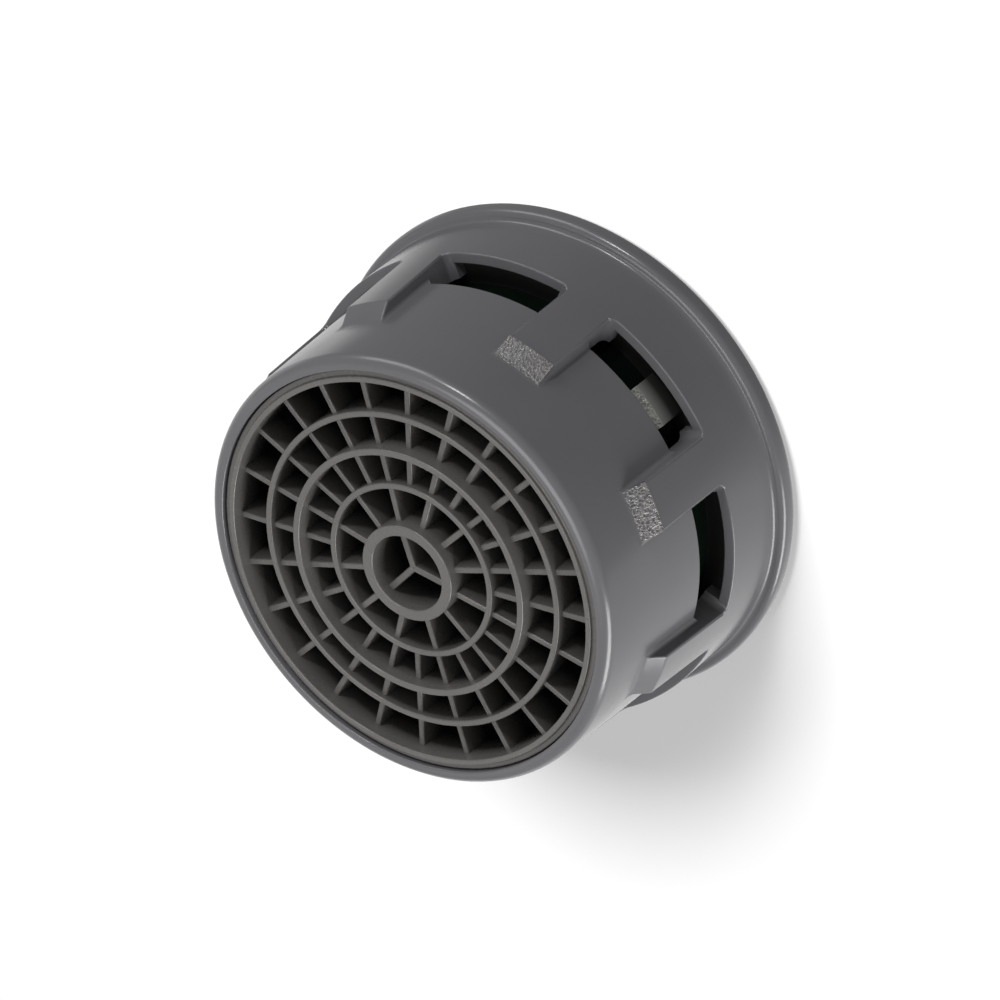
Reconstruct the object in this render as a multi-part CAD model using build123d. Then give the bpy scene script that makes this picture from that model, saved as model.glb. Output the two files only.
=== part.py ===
from build123d import *
import math
import os

os.makedirs("parts", exist_ok=True)

# Sizes in millimetres. The insert stands on its inlet flange, with the outlet at the top.

# Casing, from the flange up
flange_w = 0.5
flange_t = 1.02
flange_edge = 0.28
flange_base_edge = 0.48
root_w = 0.1
root_h = 0.5
collar_r = 9.9
collar_wall = 0.47
collar_h = 2.88
window_h = 1.46
body_h = 6.14
body_step = 0.15
body_draft = 0.25
lip_wall = 0.56
lip_edge = 0.42
ledge_w = 0.55
ledge_t = 0.8
chamber_wall = 1.16

# Bridging ribs between the collar and the body
rib_count = 8
rib_turn = 22.5
rib_w = 2.06
rib_depth = 0.68
rib_sink = 0.2
rib_over = 2.52
facet_rise = 0.82
window_corner = 0.3
corner_sink = 0.03

# Outlet grille
grille_depth = 2.8
grille_recess = 0.05
grille_turn = -0.4
hub_r = 2.02
hub_wall = 0.45
ring_low_r = 3.67
ring_low_w = 0.25
ring_mid_r = 5.22
ring_mid_w = 0.28
ring_high_r = 6.66
ring_high_w = 0.25
rim_w = 0.23
rim_gap = 0.27
rim_free_h = 0.4
ring_drop = 0.26
vane_count = 24
vane_w = 0.24
vane_foot_w = 0.44
vane_drop = 0.57
web_arms = 3
web_turn = 92.5
web_w = 0.28
web_drop = 0.45
web_t = 1.6

# Mixing grid
grid_t = 0.8
grid_rim_w = 0.5
grid_ring_w = 0.4
grid_ring_pitch = 1.55
grid_spokes = 18
grid_spoke_w = 0.35
grid_hub_r = 0.9

# Jet carrier and its snap lugs
carrier_h = 1.78
carrier_bore = 6.3
seat_w = 0.6
seat_drop = 0.8
lug_count = 4
lug_turn = 265.7
lug_w = 1.75
lug_t = 0.7
lug_inset = 0.28
lug_chamfer = 0.51

# Jet plate
plate_t = 1.0
plate_rim_h = 0.2
plate_rim_w = 0.5
plate_edge = 0.12
plenum_h = 0.4
plenum_inset = 0.3
jet_d = 0.9
jet_outer_count = 18
jet_outer_r = 5.4
jet_inner_count = 9
jet_inner_r = 3.2

# Flow regulator
post_r = 3.6
post_h = 1.35
lobe_count = 8
lobe_d = 1.1
ring_d = 1.3
passage_d = 1.0
passage_count = 12

# Inlet filter
filter_recess = 0.1
filter_frame_w = 0.7
mesh_t = 0.5
mesh_lift = 0.3
mesh_gap = 1.15
mesh_bar = 0.42

# Clearance of pieces that slide into one another
slip = 0.04

# Levels and radii that follow from the sizes
collar_top = flange_t + collar_h
body_z = collar_top + window_h
top_z = body_z + body_h
flange_r = collar_r + flange_w
bore_r = collar_r - collar_wall
body_low_r = bore_r - body_step
body_top_r = body_low_r - body_draft
lip_r = body_top_r - lip_wall
rim_z = top_z - grille_recess
ledge_z = rim_z - grille_depth
ledge_r = lip_r - ledge_w
chamber_r = body_low_r - chamber_wall
rib_end_z = body_z + rib_over
rib_end_r = collar_r - rib_sink
facet_z = rib_end_z + facet_rise
plate_z = ledge_z - ledge_t
carrier_z = flange_t + seat_w
carrier_top = carrier_z + carrier_h
root_r = collar_r + root_w
rib_in_r = bore_r - rib_depth


def body_r(z):
    return body_low_r - body_draft * (z - body_z) / body_h


def turned(points):
    with BuildPart() as made:
        with BuildSketch(Plane.XZ):
            with BuildLine():
                Polyline(*points, close=True)
            make_face()
        revolve(axis=Axis.Z)
    return made.part


def disc(radius, low, high):
    return Pos(0, 0, (low + high) / 2) * Cylinder(radius, high - low)


def tube(outer, inner, low, high):
    return disc(outer, low, high) - disc(inner, low, high)


def bar(inner, outer, width, low, high, angle):
    block = Box(outer - inner, width, high - low)
    return Rot(0, 0, angle) * Pos((inner + outer) / 2, 0, (low + high) / 2) * block


# Casing: flange, collar, drafted body with rounded lip, and the ledge that both grids seat on
with BuildPart() as blank:
    with BuildSketch(Plane.XZ):
        with BuildLine():
            edge_45 = flange_edge * math.sqrt(0.5)
            edge_r = flange_r - flange_edge
            edge_z = flange_t - flange_edge
            base_45 = flange_base_edge * math.sqrt(0.5)
            base_r = flange_r - flange_base_edge
            lip_45 = lip_edge * (1 - math.sqrt(0.5))
            lip_start = top_z - lip_edge
            lip_out = body_r(lip_start)
            lip_in = lip_out - lip_edge
            Line((bore_r, 0), (base_r, 0))
            base_z = flange_base_edge
            ThreePointArc((base_r, 0), (base_r + base_45, base_z - base_45), (flange_r, base_z))
            Line((flange_r, base_z), (flange_r, edge_z))
            ThreePointArc((flange_r, edge_z), (edge_r + edge_45, edge_z + edge_45), (edge_r, flange_t))
            Line((edge_r, flange_t), (root_r, flange_t))
            root_mid = (collar_r + root_w * 0.35, flange_t + root_h * 0.4)
            ThreePointArc((root_r, flange_t), root_mid, (collar_r, flange_t + root_h))
            Line((collar_r, flange_t + root_h), (collar_r, collar_top))
            Line((collar_r, collar_top), (rib_end_r, rib_end_z))
            Line((rib_end_r, rib_end_z), (body_r(facet_z), facet_z))
            Line((body_r(facet_z), facet_z), (lip_out, lip_start))
            ThreePointArc((lip_out, lip_start), (lip_out - lip_45, top_z - lip_45), (lip_in, top_z))
            Line((lip_in, top_z), (lip_r, top_z))
            Line((lip_r, top_z), (lip_r, ledge_z))
            Line((lip_r, ledge_z), (ledge_r, ledge_z))
            Line((ledge_r, ledge_z), (ledge_r, plate_z))
            Line((ledge_r, plate_z), (chamber_r, plate_z))
            Line((chamber_r, plate_z), (chamber_r, body_z))
            Line((chamber_r, body_z), (rib_in_r, body_z))
            Line((rib_in_r, body_z), (rib_in_r, carrier_top))
            Line((rib_in_r, carrier_top), (bore_r, carrier_top))
            Line((bore_r, carrier_top), (bore_r, 0))
        make_face()
    revolve(axis=Axis.Z)

# Casing: the space between the ribs is cut away round the body, and leaves the windows under it
with BuildPart() as blade:
    with BuildSketch(Plane.YZ.offset(bore_r / 2)):
        with BuildLine():
            half_w = rib_w / 2
            wide_w = half_w + window_corner
            foot_z = collar_top - corner_sink
            bend_z = foot_z + window_corner
            inset = window_corner * (1 - math.sqrt(0.5))
            Line((-wide_w, 0), (wide_w, 0))
            Line((wide_w, 0), (wide_w, foot_z))
            ThreePointArc((wide_w, foot_z), (half_w + inset, foot_z + inset), (half_w, bend_z))
            Line((half_w, bend_z), (half_w, top_z))
            Line((half_w, top_z), (-half_w, top_z))
            Line((-half_w, top_z), (-half_w, bend_z))
            ThreePointArc((-half_w, bend_z), (-half_w - inset, foot_z + inset), (-wide_w, foot_z))
            Line((-wide_w, foot_z), (-wide_w, 0))
        make_face()
    extrude(amount=flange_r)
between = turned([
    (chamber_r, carrier_top - slip),
    (bore_r, carrier_top - slip),
    (bore_r, collar_top),
    (flange_r, collar_top),
    (flange_r, facet_z),
    (body_r(facet_z), facet_z),
    (body_low_r, body_z),
    (chamber_r, body_z),
])
for index in range(rib_count):
    between = between - Rot(0, 0, rib_turn + index * 360 / rib_count) * blade.part
casing = blank.part - between
export_step(casing, "parts/casing.step")

# Outlet grille: rings and drafted vanes, with the hub, the middle ring and the rim standing proud
ring_z = rim_z - ring_drop
vane_z = rim_z - vane_drop
rim_r = lip_r - rim_gap
seat_z = rim_z - rim_free_h
grille = tube(rim_r, rim_r - rim_w, ledge_z, rim_z)
grille = grille + tube(lip_r - slip, rim_r - rim_w, ledge_z, seat_z)
grille = grille + tube(ring_high_r, ring_high_r - ring_high_w, ledge_z, ring_z)
grille = grille + tube(ring_mid_r, ring_mid_r - ring_mid_w, ledge_z, rim_z)
grille = grille + tube(ring_low_r, ring_low_r - ring_low_w, ledge_z, ring_z)
grille = grille + tube(hub_r, hub_r - hub_wall, ledge_z, rim_z)
for index in range(vane_count):
    angle = grille_turn + index * 360 / vane_count
    if index % 2 == 0:
        start_r = hub_r - hub_wall / 2
    else:
        start_r = ring_low_r - ring_low_w / 2
    with BuildPart() as vane:
        with BuildSketch(Plane.YZ.offset(start_r)):
            with BuildLine():
                Polyline(
                    (-vane_foot_w / 2, ledge_z),
                    (vane_foot_w / 2, ledge_z),
                    (vane_w / 2, vane_z),
                    (-vane_w / 2, vane_z),
                    close=True,
                )
            make_face()
        extrude(amount=rim_r - rim_w / 2 - start_r)
    grille = grille + Rot(0, 0, angle) * vane.part
web_z = rim_z - web_drop
for index in range(web_arms):
    angle = web_turn + index * 360 / web_arms
    grille = grille + bar(0, hub_r - hub_wall / 2, web_w, web_z - web_t, web_z, angle)
export_step(grille, "parts/outlet_grille.step")

# Mixing grid: rim, inner rings and spokes, pressed up against the ledge
grid_z = plate_z - grid_t
grid_r = chamber_r - slip
mixing_grid = tube(grid_r, grid_r - grid_rim_w, grid_z, plate_z) + disc(grid_hub_r, grid_z, plate_z)
ring_r = grid_r - grid_rim_w - grid_ring_pitch + grid_ring_w
while ring_r > grid_hub_r + grid_ring_pitch:
    mixing_grid = mixing_grid + tube(ring_r, ring_r - grid_ring_w, grid_z, plate_z)
    last_r = ring_r
    ring_r = ring_r - grid_ring_pitch
for index in range(grid_spokes):
    start_r = last_r - grid_ring_w / 2
    if index % 3 == 0:
        start_r = grid_hub_r / 2
    spoke = bar(start_r, grid_r - grid_rim_w / 2, grid_spoke_w, grid_z, plate_z, index * 360 / grid_spokes)
    mixing_grid = mixing_grid + spoke
export_step(mixing_grid, "parts/mixing_grid.step")

# Jet carrier: ring in the collar, with snap lugs that reach up to the lower edge of the body
lug_out = bore_r - lug_inset
lug_in = lug_out - lug_t
ledge_top = carrier_top - seat_drop
carrier = tube(bore_r - slip, carrier_bore, carrier_z, carrier_top)
carrier = carrier - disc(carrier_bore + seat_w, ledge_top, carrier_top)
lug_band = turned([
    (lug_in, carrier_top - seat_drop / 2),
    (lug_out, carrier_top - seat_drop / 2),
    (lug_out, body_z - lug_chamfer),
    (lug_out - lug_chamfer, body_z),
    (lug_in, body_z),
])
for index in range(lug_count):
    slab = bar(lug_in / 2, flange_r, lug_w, 0, top_z, lug_turn + index * 360 / lug_count)
    carrier = carrier + (lug_band & slab)
export_step(carrier, "parts/jet_carrier.step")

# Jet plate: disc between the lugs, with jet holes over a shallow plenum
jet_r = lug_in - slip
jet_top = carrier_top + plate_t
plenum_r = carrier_bore + seat_w - plenum_inset
jet_plate = disc(jet_r, carrier_top, jet_top)
jet_plate = jet_plate + tube(jet_r, jet_r - plate_rim_w, carrier_top, jet_top + plate_rim_h)
jet_plate = jet_plate - disc(plenum_r, carrier_top, carrier_top + plenum_h)
for count, radius in ((jet_outer_count, jet_outer_r), (jet_inner_count, jet_inner_r)):
    for place in PolarLocations(radius, count):
        jet_plate = jet_plate - place * disc(jet_d / 2, carrier_top, jet_top)
rim_edges = jet_plate.edges().filter_by(GeomType.CIRCLE).group_by(Axis.Z)[-1]
jet_plate = fillet(rim_edges, plate_edge)
export_step(jet_plate, "parts/jet_plate.step")

# Regulator core: disc on the carrier's ledge, with a lobed post below and flow passages
core_r = carrier_bore + seat_w - slip
track_r = post_r + ring_d / 2
post = disc(post_r, ledge_top - post_h, ledge_top)
for place in PolarLocations(post_r, lobe_count):
    post = post - place * disc(lobe_d / 2, ledge_top - post_h, ledge_top)
core = disc(core_r, ledge_top, carrier_top) + post
for place in PolarLocations(track_r, passage_count):
    core = core - place * disc(passage_d / 2, ledge_top, carrier_top)
export_step(core, "parts/regulator_core.step")

# Regulator ring: elastic ring round the post, under the disc
ring = Pos(0, 0, ledge_top - ring_d / 2) * Torus(track_r, ring_d / 2)
export_step(ring, "parts/regulator_ring.step")

# Inlet filter: frame under the carrier, with a square mesh across it
frame_r = bore_r - slip
mesh_r = frame_r - filter_frame_w
mesh_low = filter_recess + mesh_lift
screen = disc(mesh_r + filter_frame_w / 2, mesh_low, mesh_low + mesh_t)
pitch = mesh_gap + mesh_bar
reach = mesh_r - mesh_bar
steps = math.ceil(mesh_r / pitch)
opening = disc(mesh_r, mesh_low, mesh_low + mesh_t)
for column in range(-steps, steps + 1):
    for row in range(-steps, steps + 1):
        if math.hypot(column * pitch, row * pitch) < reach:
            gap = Box(mesh_gap, mesh_gap, mesh_t)
            screen = screen - (Pos(column * pitch, row * pitch, mesh_low + mesh_t / 2) * gap & opening)
screen = screen + tube(frame_r, mesh_r, filter_recess, carrier_z)
export_step(screen, "parts/inlet_filter.step")
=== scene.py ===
import math

import bmesh
import bpy
from mathutils import Euler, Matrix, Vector, noise


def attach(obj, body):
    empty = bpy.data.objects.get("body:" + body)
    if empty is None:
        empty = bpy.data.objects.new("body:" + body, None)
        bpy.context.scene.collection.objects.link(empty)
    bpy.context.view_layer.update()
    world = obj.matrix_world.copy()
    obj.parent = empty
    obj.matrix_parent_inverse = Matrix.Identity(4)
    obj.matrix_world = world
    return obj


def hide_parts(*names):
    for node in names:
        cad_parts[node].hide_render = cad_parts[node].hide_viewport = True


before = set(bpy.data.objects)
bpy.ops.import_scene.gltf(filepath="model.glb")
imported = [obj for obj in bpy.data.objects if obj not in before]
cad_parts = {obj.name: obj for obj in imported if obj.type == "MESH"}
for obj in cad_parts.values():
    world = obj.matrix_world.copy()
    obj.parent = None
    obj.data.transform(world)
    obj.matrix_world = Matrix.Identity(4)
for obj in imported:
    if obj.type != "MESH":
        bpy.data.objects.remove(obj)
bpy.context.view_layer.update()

# Casing: one injection moulding in dark grey acetal, drawn along the flow axis.
# Flange and collar stand below the air windows, the drafted body above them, and eight ribs bridge the two.
# Every other piece is pressed or snapped into it.
mm = 0.001
full_turn = 2 * math.pi
hair = 0.004  # mm, within which two radii or heights count as the same
sharp = 0.5  # rad, the bend from which an edge counts as a corner
widest_rounding = 0.2  # mm, what a bevel weight of 1 stands for


def srgb(code):
    levels = [int(code[at:at + 2], 16) / 255 for at in (1, 3, 5)]
    return [v / 12.92 if v <= 0.04045 else ((v + 0.055) / 1.055) ** 2.4 for v in levels] + [1.0]


def add_node(tree, kind, sockets, **settings):
    made = tree.nodes.new(kind)
    for name, value in settings.items():
        setattr(made, name, value)
    for name, value in sockets.items():
        if isinstance(value, bpy.types.NodeSocket):
            tree.links.new(value, made.inputs[name])
        else:
            made.inputs[name].default_value = value
    return made


def blank_material(name):
    material = bpy.data.materials.new(name)
    material.use_nodes = True
    return material, material.node_tree, material.node_tree.nodes["Principled BSDF"]


# each of the items once, in the order found
def each_once(items):
    return list(dict.fromkeys(items))


# an outline of radii and heights in mm, turned about the flow axis
def sweep(bm, outline, start, angle, steps):
    corners = [bm.verts.new((r * mm * math.cos(start), r * mm * math.sin(start), z * mm)) for r, z in outline]
    sides = [bm.edges.new(pair) for pair in zip(corners, corners[1:] + corners[:1])]
    bmesh.ops.spin(bm, geom=corners + sides, cent=(0, 0, 0), axis=(0, 0, 1), angle=angle, steps=steps,
                   use_merge=angle == full_turn)


def turn_about_axis(bm, verts, degrees):
    bmesh.ops.rotate(bm, verts=verts, cent=(0, 0, 0), matrix=Euler((0, 0, math.radians(degrees))).to_matrix())


def repeat_round(bm, verts, count):
    edges = each_once(e for v in verts for e in v.link_edges)
    faces = each_once(f for v in verts for f in v.link_faces)
    bmesh.ops.spin(bm, geom=verts + edges + faces, cent=(0, 0, 0), axis=(0, 0, 1),
                   angle=full_turn * (count - 1) / count, steps=count - 1, use_duplicate=True)


# a bar along X, its sizes and its middle in mm
def bar(bm, length, width, height, middle):
    made = bmesh.ops.create_cube(bm, size=1)["verts"]
    bmesh.ops.scale(bm, verts=made, vec=(length * mm, width * mm, height * mm))
    bmesh.ops.translate(bm, verts=made, vec=[at * mm for at in middle])
    return made


def circle_edges(bm, radius, height):
    return [e for e in bm.edges if all(abs(v.co.z / mm - height) < hair
                                       and abs(v.co.xy.length / mm - radius) < hair for v in e.verts)]


def round_off(bm, edges, radius, segments):
    bmesh.ops.bevel(bm, geom=edges, offset=radius * mm, offset_type="OFFSET", segments=segments, profile=0.5,
                    affect="EDGES", material=-1, clamp_overlap=True)


def cap_open_ends(bm):
    bmesh.ops.holes_fill(bm, edges=[e for e in bm.edges if len(e.link_faces) == 1], sides=0)


def close_up(bm):
    bmesh.ops.remove_doubles(bm, verts=bm.verts, dist=0.002 * mm)
    cap_open_ends(bm)
    bmesh.ops.recalc_face_normals(bm, faces=bm.faces)


# the roundings of outer and inner corners, in mm, for the bevel that finishes the piece
def mark_edges(bm, outer, inner):
    layer = bm.edges.layers.float.new("bevel_weight_edge")
    for edge in bm.edges:
        bend = edge.calc_face_angle_signed(0)
        if abs(bend) > sharp:
            edge[layer] = (outer if bend > 0 else inner) / widest_rounding


# spark-eroded patches: a thin skin over each, cut fine and raised into worm-like ridges
def erode(bm, patches, grain, depth, cuts):
    sunk, thick = 0.1, 0.115
    weight = bm.edges.layers.float["bevel_weight_edge"]
    for faces, outward in patches:
        skin = bmesh.ops.duplicate(bm, geom=faces)["geom"]
        skin_faces = [f for f in skin if isinstance(f, bmesh.types.BMFace)]
        for edge in each_once(e for f in skin_faces for e in f.edges):
            edge[weight] = 0
        bmesh.ops.translate(bm, verts=each_once(v for f in skin_faces for v in f.verts),
                            vec=outward * -sunk * mm)
        raised = bmesh.ops.extrude_face_region(bm, geom=skin_faces, use_keep_orig=True)["geom"]
        bmesh.ops.translate(bm, verts=[v for v in raised if isinstance(v, bmesh.types.BMVert)],
                            vec=outward * thick * mm)
        for face in raised:
            if isinstance(face, bmesh.types.BMFace):
                face.material_index = 1
    top = each_once(e for f in bm.faces if f.material_index == 1 for e in f.edges)
    bmesh.ops.subdivide_edges(bm, edges=top, cuts=cuts, use_grid_fill=True)
    bmesh.ops.recalc_face_normals(bm, faces=bm.faces)
    for vert in [v for v in bm.verts if all(f.material_index == 1 for f in v.link_faces)]:
        worm = abs(noise.noise(vert.co / (grain * mm)))
        fine = noise.noise(vert.co / (grain * 0.4 * mm))
        vert.co += vert.normal * mm * depth * (0.4 - 1.6 * worm + 0.35 * fine)


def finish_piece(bm, name, materials, node):
    bmesh.ops.recalc_face_normals(bm, faces=bm.faces)
    for face in bm.faces:
        face.smooth = True
    mesh = bpy.data.meshes.new(name)
    bm.to_mesh(mesh)
    bm.free()
    piece = bpy.data.objects.new(name, mesh)
    bpy.context.scene.collection.objects.link(piece)
    for material in materials:
        mesh.materials.append(material)
    rounding = piece.modifiers.new("edge_rounding", "BEVEL")
    rounding.width = widest_rounding * mm
    rounding.segments = 3
    rounding.limit_method = "WEIGHT"
    rounding.use_clamp_overlap = False
    rounding.harden_normals = True
    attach(piece, "root")
    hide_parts(node)


# radii and heights in mm, from the flange up
flange_r, flange_h, seat_r = 10.4, 1.02, 10.0
flare_r, flare_h, flare_top = 9.935, 1.22, 1.52
collar_r, mouth_r = 9.9, 9.43
sill_h, window_top, skirt_r = 3.9, 5.36, 9.28
bore_r, spine_r, spine_low = 8.12, 8.75, 3.4
rib_r, rib_end_h = 9.7, 7.88
slant_r, slant_h = 9.144, 8.7
lip_r, outlet_h, pocket_r = 9.03, 11.5, 8.47
ledge_r, ledge_h, ledge_low = 7.92, 8.65, 7.85
foot = [(mouth_r, 0), (flange_r, 0), (flange_r, flange_h), (seat_r, flange_h), (flare_r, flare_h),
        (collar_r, flare_top), (collar_r, sill_h), (mouth_r, sill_h), (mouth_r, spine_low)]
body = [(bore_r, window_top), (spine_r, window_top), (skirt_r, window_top), (slant_r, slant_h),
        (lip_r, outlet_h), (pocket_r, outlet_h), (pocket_r, ledge_h), (ledge_r, ledge_h),
        (ledge_r, ledge_low), (bore_r, ledge_low)]
rib = (foot[:7] + [(rib_r, rib_end_h)] + body[3:]
       + [(bore_r, window_top), (spine_r, window_top), (spine_r, spine_low), (mouth_r, spine_low)])
rib_count, first_rib, rib_step = 8, 22.5, 45
rib_half_w = 1.03
rib_half = math.radians(6)
between = math.radians(rib_step) - 2 * rib_half
bm = bmesh.new()
for turn in range(rib_count):
    middle = math.radians(first_rib + rib_step * turn)
    sweep(bm, rib, middle - rib_half, 2 * rib_half, 4)
    sweep(bm, foot, middle + rib_half, between, 14)
    sweep(bm, body, middle + rib_half, between, 14)
close_up(bm)
# the ribs' sides are parallel, not radial
for vert in bm.verts:
    radius = vert.co.xy.length
    angle = math.atan2(vert.co.y, vert.co.x)
    middle = math.radians(first_rib + rib_step * round((math.degrees(angle) - first_rib) / rib_step))
    off = angle - middle
    half = math.asin(rib_half_w * mm / radius)
    if abs(off) < rib_half + 1e-4:
        off *= half / rib_half
    else:
        off = math.copysign(half + (abs(off) - rib_half) * (between + 2 * rib_half - 2 * half) / between, off)
    vert.co.xy = radius * math.cos(middle + off), radius * math.sin(middle + off)
# the windows' corners are round where a sill's end meets the upright side of a rib
corner_r = 0.27
sill_ends = [e for e in bm.edges if all(abs(v.co.z / mm - sill_h) < hair for v in e.verts)
             and abs(e.verts[0].co.xy.length - e.verts[1].co.xy.length) > 0.4 * mm
             and any(f.normal.z < 0.5 for f in e.link_faces)]
round_off(bm, sill_ends, corner_r, 4)
round_off(bm, circle_edges(bm, flange_r, flange_h), 0.28, 6)
round_off(bm, circle_edges(bm, flange_r, 0), 0.48, 6)
round_off(bm, circle_edges(bm, lip_r, outlet_h), 0.42, 6)
bm.normal_update()
mark_edges(bm, 0.07, 0.16)
weight = bm.edges.layers.float["bevel_weight_edge"]
rib_rounding, rib_edge_length, rib_side_r = 0.15, 2.5, 9.6
corner_low, corner_top = 3.905, 4.17
for edge in bm.edges:
    middle = (edge.verts[0].co + edge.verts[1].co) / 2 / mm
    # the ribs' long edges are rounder than the others
    if edge[weight] > 0 and edge.calc_length() > rib_edge_length * mm and all(
            v.co.xy.length > rib_side_r * mm and v.co.z > sill_h * mm for v in edge.verts):
        edge[weight] = rib_rounding / widest_rounding
    # the round corners keep their shape
    if corner_low < middle.z < corner_top and (middle.xy.length < rib_side_r
                                               or edge.calc_face_angle_signed(0) < 0):
        edge[weight] = 0
for edge in circle_edges(bm, seat_r, flange_h):
    edge[weight] = 0
# the windows' corners stay round behind the collar, through the ribs' feet
wedge_inner, wedge_length, wedge_side, wedge_low = 8.72, 1.03, 0.9, 3.41
round_at, round_h = 1.3, 4.167
for side in (-1, 1):
    corner = [(wedge_side, corner_top), (wedge_side, wedge_low), (round_at, wedge_low)]
    corner += [(round_at - corner_r * math.sin(at), round_h - corner_r * math.cos(at))
               for at in map(math.radians, (0, 22.5, 45, 67.5, 90))]
    made = [bm.faces.new([bm.verts.new((wedge_inner * mm, side * t * mm, z * mm)) for t, z in corner])]
    made += bmesh.ops.extrude_face_region(bm, geom=made, use_keep_orig=True)["geom"]
    bmesh.ops.translate(bm, verts=[v for v in made if isinstance(v, bmesh.types.BMVert)],
                        vec=(wedge_length * mm, 0, 0))
    wedge = each_once(v for f in made if isinstance(f, bmesh.types.BMFace) for v in f.verts)
    wedge_faces = each_once(f for v in wedge for f in v.link_faces)
    bmesh.ops.recalc_face_normals(bm, faces=wedge_faces)
    for edge in each_once(e for f in wedge_faces for e in f.edges):
        edge.smooth = edge.calc_face_angle(0) < sharp
    turn_about_axis(bm, wedge, first_rib)
    repeat_round(bm, wedge, rib_count)
# four of the slanted rib ends were left rough by spark erosion of the tool
slant_out, slant_up = 0.828, 0.561
facing = 0.98  # cosine from which a face counts as turned the patch's way
rough_low, rough_top, rough_r = 7.9, 8.68, 9.2
patches = []
for middle in map(math.radians, (67.5, 112.5, 247.5, 292.5)):
    outward = Vector((slant_out * math.cos(middle), slant_out * math.sin(middle), slant_up))
    patches.append(([f for f in bm.faces if f.normal.dot(outward) > facing
                     and f.calc_center_median().xy.length > rough_r * mm
                     and rough_low < f.calc_center_median().z / mm < rough_top], outward))
erode(bm, patches, grain=0.12, depth=0.085, cuts=30)


# Acetal, moulded in a finely ground tool: satin and nearly even, with cloudy flow marks and a soft sheen.
def moulded_acetal(name, deep, pale, sheen):
    material, tree, shader = blank_material(name)
    place = add_node(tree, "ShaderNodeTexCoord", {}).outputs["Object"]
    # cloudy flow marks about 3 mm across
    cloud = add_node(tree, "ShaderNodeTexNoise", {"Vector": place, "Scale": 1 / (3 * mm), "Detail": 3})
    tint = add_node(tree, "ShaderNodeMix", {"Factor": cloud.outputs["Fac"], "A": srgb(deep), "B": srgb(pale)},
                    data_type="RGBA")
    tree.links.new(tint.outputs["Result"], shader.inputs["Base Color"])
    # grain of the tool, about 0.07 mm, drawn coarse enough to show
    grain = add_node(tree, "ShaderNodeTexNoise", {"Vector": place, "Scale": 1 / (0.07 * mm), "Detail": 2})
    relief = add_node(tree, "ShaderNodeBump", {"Height": grain.outputs["Fac"], "Strength": 0.1,
                                               "Distance": 0.01 * mm})
    tree.links.new(relief.outputs["Normal"], shader.inputs["Normal"])
    # rubbed and dull places about 0.8 mm across
    rub = add_node(tree, "ShaderNodeTexNoise", {"Vector": place, "Scale": 1 / (0.8 * mm), "Detail": 4})
    gloss = add_node(tree, "ShaderNodeMapRange", {"Value": rub.outputs["Fac"], "To Min": sheen - 0.06,
                                                  "To Max": sheen + 0.06})
    tree.links.new(gloss.outputs["Result"], shader.inputs["Roughness"])
    shader.inputs["IOR"].default_value = 1.48
    return material


# Acetal from a spark-eroded face of the tool: glossy worm-like ridges that glint one by one.
def eroded_acetal(name, deep, pale):
    material = moulded_acetal(name, deep, pale, 0.14)
    tree = material.node_tree
    place = add_node(tree, "ShaderNodeTexCoord", {}).outputs["Object"]
    # pits about 0.05 mm across between the ridges
    pit = add_node(tree, "ShaderNodeTexNoise", {"Vector": place, "Scale": 1 / (0.05 * mm), "Detail": 2})
    relief = add_node(tree, "ShaderNodeBump", {"Height": pit.outputs["Fac"], "Strength": 0.5,
                                               "Distance": 0.02 * mm})
    tree.links.new(relief.outputs["Normal"], tree.nodes["Principled BSDF"].inputs["Normal"])
    return material


casing_grey = moulded_acetal("dark_grey_acetal_casing", "#605f62", "#676669", 0.23)
casing_spark = eroded_acetal("dark_grey_acetal_spark_eroded", "#716f6f", "#858382")
finish_piece(bm, "casing_moulding", [casing_grey, casing_spark], "casing")

# Outlet grille: a second acetal moulding, pressed into the lip down to the casing's ledge.
# Thin rings and drafted vanes part the outlet into cells, and a narrow groove is left round its rim.
# Hub, middle ring and rim stand proud of the other rings, and those of the vanes.
bm = bmesh.new()
low, proud, sunk = 8.65, 11.45, 11.19
for inner, outer, top in ((1.57, 2.02, proud), (3.42, 3.67, sunk), (4.94, 5.22, proud), (6.41, 6.66, sunk)):
    sweep(bm, [(inner, low), (outer, low), (outer, top), (inner, top)], 0, full_turn, 144)
rim_inner, rim_outer, groove_r, groove_h = 7.97, 8.43, 8.2, 11.3
sweep(bm, [(rim_inner, low), (rim_outer, low), (rim_outer, groove_h), (groove_r, groove_h), (groove_r, proud),
           (rim_inner, proud)], 0, full_turn, 144)
vane_low, vane_mid, vane_crest_w, vane_root_w = 8.66, 10, 0.24, 0.44
for count, inner, outer, inner_top, outer_top in ((24, 3.545, 8.085, 11.0, 10.92),
                                                  (12, 1.795, 3.545, 11.07, 11.0)):
    middle = (outer + inner) / 2
    vane = bar(bm, outer - inner, vane_crest_w, inner_top - vane_low, (middle, 0, (inner_top + vane_low) / 2))
    bmesh.ops.scale(bm, verts=[v for v in vane if v.co.z < vane_mid * mm],
                    vec=(1, vane_root_w / vane_crest_w, 1))
    # their tops fall a little towards the rim
    bmesh.ops.translate(bm, verts=[v for v in vane if v.co.z > vane_mid * mm and v.co.x > middle * mm],
                        vec=(0, 0, (outer_top - inner_top) * mm))
    turn_about_axis(bm, vane, -0.4)
    repeat_round(bm, vane, count)
# three arms meet in the hub, each a hair lower than the last so that no two faces share a plane
arm_length, arm_w, arm_h, arm_mid_h = 1.8, 0.28, 1.6, 10.2
for arm in range(3):
    made = bar(bm, arm_length, arm_w, arm_h, (arm_length / 2, 0, arm_mid_h - hair * arm))
    turn_about_axis(bm, made, 92.5 + 120 * arm)
bmesh.ops.recalc_face_normals(bm, faces=bm.faces)
mark_edges(bm, 0.06, 0.06)
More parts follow.
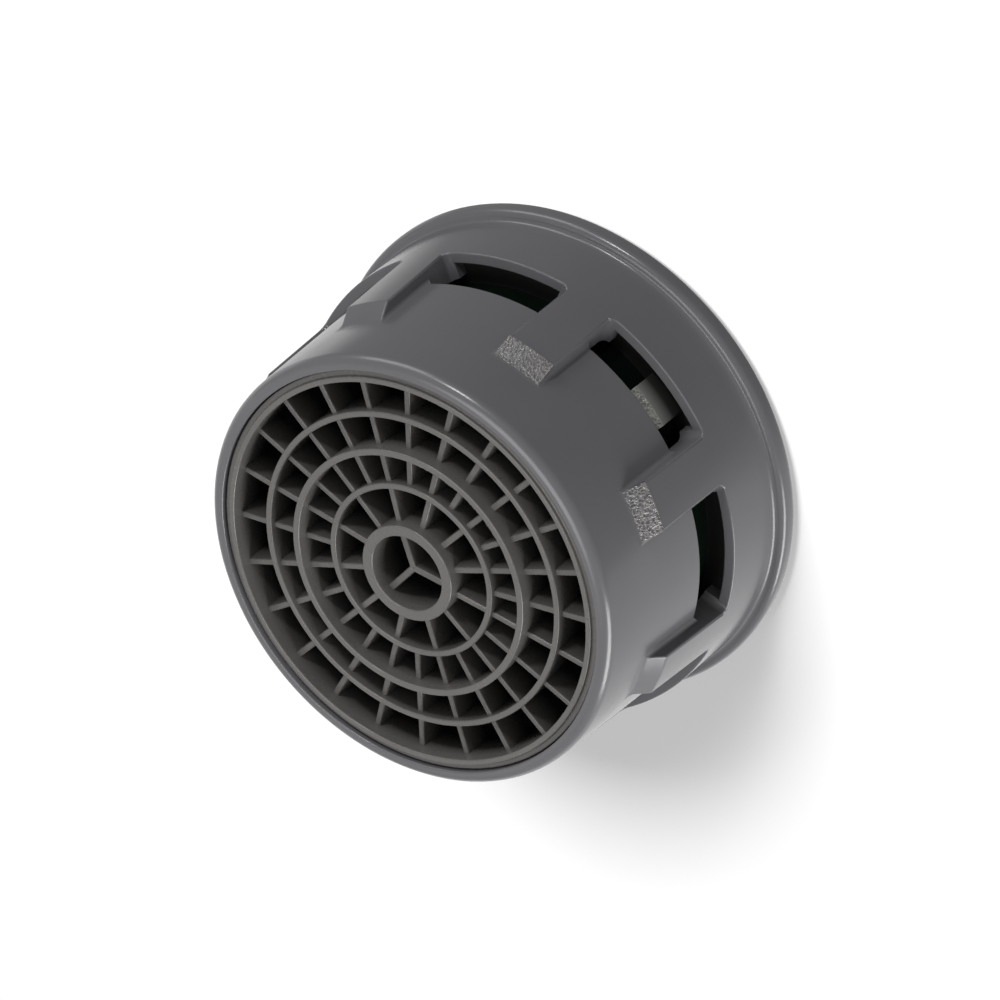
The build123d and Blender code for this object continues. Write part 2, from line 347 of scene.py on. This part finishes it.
# flash: a thin ragged fin on the middle ring, left where the halves of the tool met
flash_r, flash_root_r, flash_h, flash_half = 4.86, 4.95, 11.37, 0.04
sweep(bm, [(flash_r, flash_h), (flash_root_r, flash_h - flash_half), (flash_root_r, flash_h + flash_half)],
      math.radians(238), math.radians(68), 120)
cap_open_ends(bm)
for vert in bm.verts:
    if abs(vert.co.xy.length / mm - flash_r) < hair and vert.co.z > sunk * mm:
        ragged = 0.05 * noise.noise(vert.co / (0.25 * mm)) + 0.04 * noise.noise(vert.co / (0.1 * mm))
        vert.co.xy *= 1 + (0.025 + ragged) / flash_r
# The casing's acetal, a little warmer and duller. The cells' walls are painted darker from 11.1 mm down, as
# painted shade deep in the cells.
grille_grey = moulded_acetal("dark_grey_acetal_grille_painted_shade", "#605e5c", "#686663", 0.27)
tree = grille_grey.node_tree
shader = tree.nodes["Principled BSDF"]
place = add_node(tree, "ShaderNodeTexCoord", {}).outputs["Object"]
height = add_node(tree, "ShaderNodeSeparateXYZ", {"Vector": place})
# painted shade: the colour darkens towards the cells' floors, fully dark at 9.7 mm
painted_shade_depth = add_node(tree, "ShaderNodeMapRange", {"Value": height.outputs["Z"], "From Min": 9.7 * mm,
                                              "From Max": 11.1 * mm, "To Min": 1.0, "To Max": 0.0})
unshaded_tint = shader.inputs["Base Color"].links[0].from_socket
tint = add_node(tree, "ShaderNodeMix", {"Factor": painted_shade_depth.outputs["Result"], "A": unshaded_tint, "B": srgb("#1c1917")},
                data_type="RGBA")
tree.links.new(tint.outputs["Result"], shader.inputs["Base Color"])
finish_piece(bm, "outlet_grille_moulding", [grille_grey], "outlet_grille")


# Mixing grid: a thin acetal moulding that breaks the jets up, pressed against the underside of the ledge.
# It lies deep under the grille, so only its top shows between the vanes, painted nearly black as shade.
def dress(node, material):
    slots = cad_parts[node].data.materials
    slots.clear()
    slots.append(material)


# Acetal painted almost black as the shade in the cells, and dull.
dress("mixing_grid", moulded_acetal("black_grey_acetal_inner_painted_shade", "#232221", "#2b2a28", 0.45))

# Jet carrier: acetal ring, slid into the collar, painted nearly black as shade.
# Four snap lugs with rough chamfered heads stand up in the windows and hold it under the body.
bm = bmesh.new()
carrier_bore, carrier_outer, carrier_low, carrier_top = 6.3, 9.39, 1.62, 3.4
step_r, step_h = 6.9, 2.6
sweep(bm, [(carrier_bore, carrier_low), (carrier_outer, carrier_low), (carrier_outer, carrier_top),
           (step_r, carrier_top), (step_r, step_h), (carrier_bore, step_h)], 0, full_turn, 144)
lug_inner, lug_outer, lug_low, lug_top, lug_half_w, chamfer = 8.45, 9.15, 3.0, 5.36, 0.875, 0.51
lug_half = math.asin(lug_half_w * 2 / (lug_inner + lug_outer))
lug_middles = [math.radians(265.7 + 90 * lug) for lug in range(4)]
for middle in lug_middles:
    sweep(bm, [(lug_inner, lug_low), (lug_outer, lug_low), (lug_outer, lug_top - chamfer),
               (lug_outer - chamfer, lug_top), (lug_inner, lug_top)], middle - lug_half, 2 * lug_half, 4)
close_up(bm)
mark_edges(bm, 0.05, 0.05)
patches = []
for middle in lug_middles:
    outward = Vector((math.cos(middle), math.sin(middle), 1)) * math.sqrt(0.5)
    patches.append(([f for f in bm.faces if f.normal.dot(outward) > facing
                     and f.calc_center_median().z > (lug_top - chamfer) * mm], outward))
erode(bm, patches, grain=0.15, depth=0.1, cuts=20)
# Acetal painted nearly black as shade under the collar, and painted lighter from 4.1 mm up, as light on the
# lugs' heads in the windows.
carrier_grey = moulded_acetal("acetal_carrier_painted_shade_and_light", "#1d1c1b", "#242322", 0.38)
tree = carrier_grey.node_tree
shader = tree.nodes["Principled BSDF"]
place = add_node(tree, "ShaderNodeTexCoord", {}).outputs["Object"]
height = add_node(tree, "ShaderNodeSeparateXYZ", {"Vector": place})
# painted light and shade: lighter from 4.1 mm to 5 mm up the lugs, nearly black as shade below
painted_light_by_height = add_node(tree, "ShaderNodeMapRange", {"Value": height.outputs["Z"], "From Min": 4.1 * mm,
                                               "From Max": 5.0 * mm})
dark = shader.inputs["Base Color"].links[0].from_socket
tint = add_node(tree, "ShaderNodeMix", {"Factor": painted_light_by_height.outputs["Result"], "A": dark, "B": srgb("#7d7f7b")},
                data_type="RGBA")
tree.links.new(tint.outputs["Result"], shader.inputs["Base Color"])
carrier_spark = eroded_acetal("mid_grey_acetal_spark_eroded", "#85857f", "#96968f")
finish_piece(bm, "jet_carrier_moulding", [carrier_grey, carrier_spark], "jet_carrier")

# Jet plate: disc in dark green polypropylene with jet holes, moulded and held between the lugs.
# Behind the windows it is nearly black.
# Polypropylene from a polished tool: glossy, with a waxy waviness and faint streaks in the green.
green, tree, shader = blank_material("dark_green_polypropylene")
place = add_node(tree, "ShaderNodeTexCoord", {}).outputs["Object"]
# streaks of pigment about 1.5 mm across
streak = add_node(tree, "ShaderNodeTexNoise", {"Vector": place, "Scale": 1 / (1.5 * mm), "Detail": 3,
                                               "Distortion": 1.0})
tint = add_node(tree, "ShaderNodeMix", {"Factor": streak.outputs["Fac"], "A": srgb("#030b07"),
                                        "B": srgb("#06140c")}, data_type="RGBA")
tree.links.new(tint.outputs["Result"], shader.inputs["Base Color"])
# shallow sink marks about 0.6 mm across
sink = add_node(tree, "ShaderNodeTexNoise", {"Vector": place, "Scale": 1 / (0.6 * mm), "Detail": 1})
relief = add_node(tree, "ShaderNodeBump", {"Height": sink.outputs["Fac"], "Strength": 0.2,
                                           "Distance": 0.03 * mm})
tree.links.new(relief.outputs["Normal"], shader.inputs["Normal"])
shader.inputs["Roughness"].default_value = 0.16
shader.inputs["IOR"].default_value = 1.49
dress("jet_plate", green)

# Regulator core: moulded acetal disc with a lobed post, resting on the carrier's ledge.
# Water passes between the lobes and the elastic ring.
# Acetal kept out of the light and seldom rubbed: darker and duller than the casing.
dress("regulator_core", moulded_acetal("dark_grey_acetal_core", "#4b4a4b", "#545354", 0.4))

# Regulator ring: soft ring in black EPDM, stretched round the post.
# Compression moulded, so a fine flash line runs round its outside.
bm = bmesh.new()
cord_r, ring_r, ring_h, flash = 0.65, 4.25, 1.95, 0.06
bmesh.ops.create_circle(bm, segments=32, radius=cord_r * mm)
bmesh.ops.rotate(bm, verts=bm.verts, cent=(0, 0, 0), matrix=Euler((math.pi / 2, 0, 0)).to_matrix())
for vert in bm.verts:
    if vert.co.x > (cord_r - 0.001) * mm:
        vert.co.x += flash * mm
bmesh.ops.translate(bm, verts=bm.verts, vec=(ring_r * mm, 0, ring_h * mm))
bmesh.ops.spin(bm, geom=bm.verts[:] + bm.edges[:], cent=(0, 0, 0), axis=(0, 0, 1), angle=full_turn, steps=128,
               use_merge=True)
# EPDM rubber, cured in a plain tool: dull black under a thin pale bloom.
rubber, tree, shader = blank_material("black_epdm_rubber")
place = add_node(tree, "ShaderNodeTexCoord", {}).outputs["Object"]
# patches of bloom about 0.9 mm across
bloom = add_node(tree, "ShaderNodeTexNoise", {"Vector": place, "Scale": 1 / (0.9 * mm), "Detail": 5})
tint = add_node(tree, "ShaderNodeMix", {"Factor": bloom.outputs["Fac"], "A": srgb("#161616"),
                                        "B": srgb("#222120")}, data_type="RGBA")
tree.links.new(tint.outputs["Result"], shader.inputs["Base Color"])
shader.inputs["Roughness"].default_value = 0.62
shader.inputs["IOR"].default_value = 1.5
finish_piece(bm, "regulator_ring_moulding", [rubber], "regulator_ring")

# Inlet filter: pale acetal frame with a fine moulded screen, pressed into the mouth of the flange.
# It keeps grit out of the jets.
bm = bmesh.new()
filter_bore, filter_outer, filter_low, filter_top = 8.69, 9.39, 0.1, 1.62
sweep(bm, [(filter_bore, filter_low), (filter_outer, filter_low), (filter_outer, filter_top),
           (filter_bore, filter_top)], 0, full_turn, 144)
pitch, wire, screen_r, screen_h = 0.8, 0.3, 8.9, 0.65
for run in range(-10, 11):
    across = pitch * run
    reach = math.sqrt(screen_r ** 2 - across ** 2)
    for degrees, thick in ((0, 0.5), (90, 0.44)):
        made = bar(bm, 2 * reach, wire, thick, (0, across, screen_h))
        turn_about_axis(bm, made, degrees)
bmesh.ops.recalc_face_normals(bm, faces=bm.faces)
mark_edges(bm, 0.07, 0.07)
# Acetal without the dark pigment: pale grey and duller than the casing.
filter_grey = moulded_acetal("pale_grey_acetal_filter", "#8f8f8b", "#9b9b97", 0.42)
finish_piece(bm, "inlet_filter_moulding", [filter_grey], "inlet_filter")

# Stage: a white card under the flange, and soft light from the outlet's side and from both flanks.
# The side towards the camera stays dim. A lamp of its own lays the shadow on the card.
bm = bmesh.new()
card_half, gap_under = 1.5, 0.02
bmesh.ops.create_grid(bm, x_segments=1, y_segments=1, size=card_half)
bmesh.ops.translate(bm, verts=bm.verts, vec=(0, 0, -gap_under * mm))
mesh = bpy.data.meshes.new("floor")
bm.to_mesh(mesh)
bm.free()
floor = bpy.data.objects.new("floor", mesh)
bpy.context.scene.collection.objects.link(floor)
# Matt white card: even white to the eye, with only the soft shadow on it.
card, tree, shader = blank_material("white_card")
path = add_node(tree, "ShaderNodeLightPath", {})
# the camera sees white paper with the shadow on it
white = add_node(tree, "ShaderNodeEmission", {"Color": (1, 1, 1, 1), "Strength": 1.0})
paper = add_node(tree, "ShaderNodeBsdfDiffuse", {"Color": srgb("#f2f2f2")})
seen = add_node(tree, "ShaderNodeMixShader", {0: 0.4, 1: paper.outputs[0], 2: white.outputs[0]})
# reflections see it white on its far part and dim on its near part, parted about 6 mm off the axis
place = add_node(tree, "ShaderNodeTexCoord", {}).outputs["Object"]
across = add_node(tree, "ShaderNodeVectorMath", {0: place, 1: (-0.47, 0.883, 0)}, operation="DOT_PRODUCT")
level = add_node(tree, "ShaderNodeMapRange", {"Value": across.outputs["Value"], "From Min": -7.4 * mm,
                                              "From Max": -4.4 * mm, "To Min": 0.3, "To Max": 1.0})
glow = add_node(tree, "ShaderNodeEmission", {"Color": (1, 1, 1, 1), "Strength": level.outputs["Result"]})
mirrored = add_node(tree, "ShaderNodeMath", {0: path.outputs["Is Glossy Ray"],
                                             1: path.outputs["Is Transmission Ray"]}, operation="MAXIMUM")
# other rays find it grey, so it throws little light back
shader.inputs["Base Color"].default_value = srgb("#565656")
shader.inputs["Roughness"].default_value = 0.9
mixed = add_node(tree, "ShaderNodeMixShader", {0: path.outputs["Is Camera Ray"], 1: shader.outputs[0],
                                               2: seen.outputs[0]})
mixed = add_node(tree, "ShaderNodeMixShader", {0: mirrored.outputs[0], 1: mixed.outputs[0], 2: glow.outputs[0]})
tree.links.new(mixed.outputs[0], tree.nodes["Material Output"].inputs["Surface"])
mesh.materials.append(card)

world = bpy.data.worlds.new("studio")
world.use_nodes = True
bpy.context.scene.world = world
world.node_tree.nodes["Background"].inputs["Color"].default_value = (0.25, 0.25, 0.25, 1)
world.node_tree.nodes["Background"].inputs["Strength"].default_value = 1.0

on_card = bpy.data.collections.new("lamp_on_card")
on_card.objects.link(floor)
off_card = bpy.data.collections.new("lamps_off_card")
off_card.objects.link(floor)
off_card.collection_objects[0].light_linking.link_state = "EXCLUDE"
lamp_distance = 0.3
aim = Vector((0, 0, 6 * mm))
# degrees round the axis and up, size in metres, watts, and what the lamp lights
for name, around, up, size, watts, lit in (
        ("outlet_side", 0, 89, 0.2, 0.47, off_card),
        ("left_flank", 345, 6, 0.16, 0.33, off_card),
        ("right_flank", 187, 6, 0.2, 1.25, off_card),
        ("far_side", 75, 30, 0.3, 0.13, off_card),
        ("edge_glint", 318, 25, 0.041, 0.25, off_card),
        ("shadow", 322, 55, 0.12, 1.3, on_card)):
    lamp = bpy.data.lights.new(name, "AREA")
    lamp.size = size
    lamp.energy = watts
    light = bpy.data.objects.new(name, lamp)
    towards = Euler((0, math.radians(-up), math.radians(around))).to_matrix() @ Vector((1, 0, 0))
    light.location = towards * lamp_distance + aim
    light.rotation_euler = towards.to_track_quat("Z", "Y").to_euler()
    light.visible_camera = False
    light.light_linking.receiver_collection = lit
    bpy.context.scene.collection.objects.link(light)

lens = bpy.data.cameras.new("camera")
lens.sensor_width = 36
lens.lens = 209.4
lens.clip_start = 0.01
camera = bpy.data.objects.new("camera", lens)
camera.location = (2.535 * mm, -156.636 * mm, 165.242 * mm)
camera.rotation_euler = (-0.55019, 0.57568, -2.3992)
bpy.context.scene.collection.objects.link(camera)
bpy.context.scene.camera = camera
bpy.context.scene.view_settings.view_transform = "Standard"
